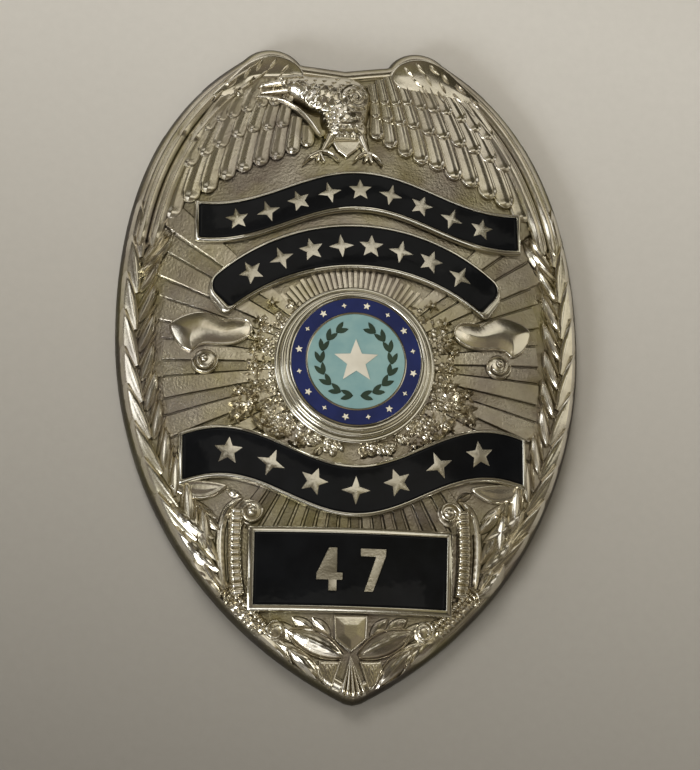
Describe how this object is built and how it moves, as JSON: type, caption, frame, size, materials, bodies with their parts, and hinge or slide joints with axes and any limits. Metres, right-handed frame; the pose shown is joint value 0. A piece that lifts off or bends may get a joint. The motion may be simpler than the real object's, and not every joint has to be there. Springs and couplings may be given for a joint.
{
  "type": "police badge",
  "caption": "Domed metal shield badge with an eagle, rays and leaf borders in relief, enamelled ribbons, a number panel and a round enamelled seal.",
  "frame": {"origin": "middle of the badge at the level of its back rim", "axes": "+Z out of the badge's face, +Y from the pointed foot to the eagle, +X to the viewer's right"},
  "size_m": [0.0522, 0.0754, 0.0081],
  "materials": {
    "plated_metal": "polished nickel, darkened by tarnish in the recesses",
    "panel_metal": "polished nickel edges and ornaments",
    "black_enamel": "glossy",
    "blue_enamel": "glossy",
    "pale_blue_enamel": "glossy",
    "green_enamel": "glossy",
    "white_enamel": "glossy",
    "pin_steel": "plain drawn wire and pressed strip"
  },
  "bodies": {
    "root": {"shield": "plated_metal", "upper_ribbon": "panel_metal", "upper_enamel": "black_enamel", "middle_ribbon": "panel_metal", "middle_enamel": "black_enamel", "lower_ribbon": "panel_metal", "lower_enamel": "black_enamel", "number_panel": "panel_metal", "number_enamel": "black_enamel", "seal_bezel": "panel_metal", "seal_disc": "panel_metal", "seal_ring_enamel": "blue_enamel", "seal_field_enamel": "pale_blue_enamel", "seal_wreath_enamel": "green_enamel", "seal_star_enamel": "white_enamel", "pin_back": "pin_steel"}
  },
  "joints": []
}
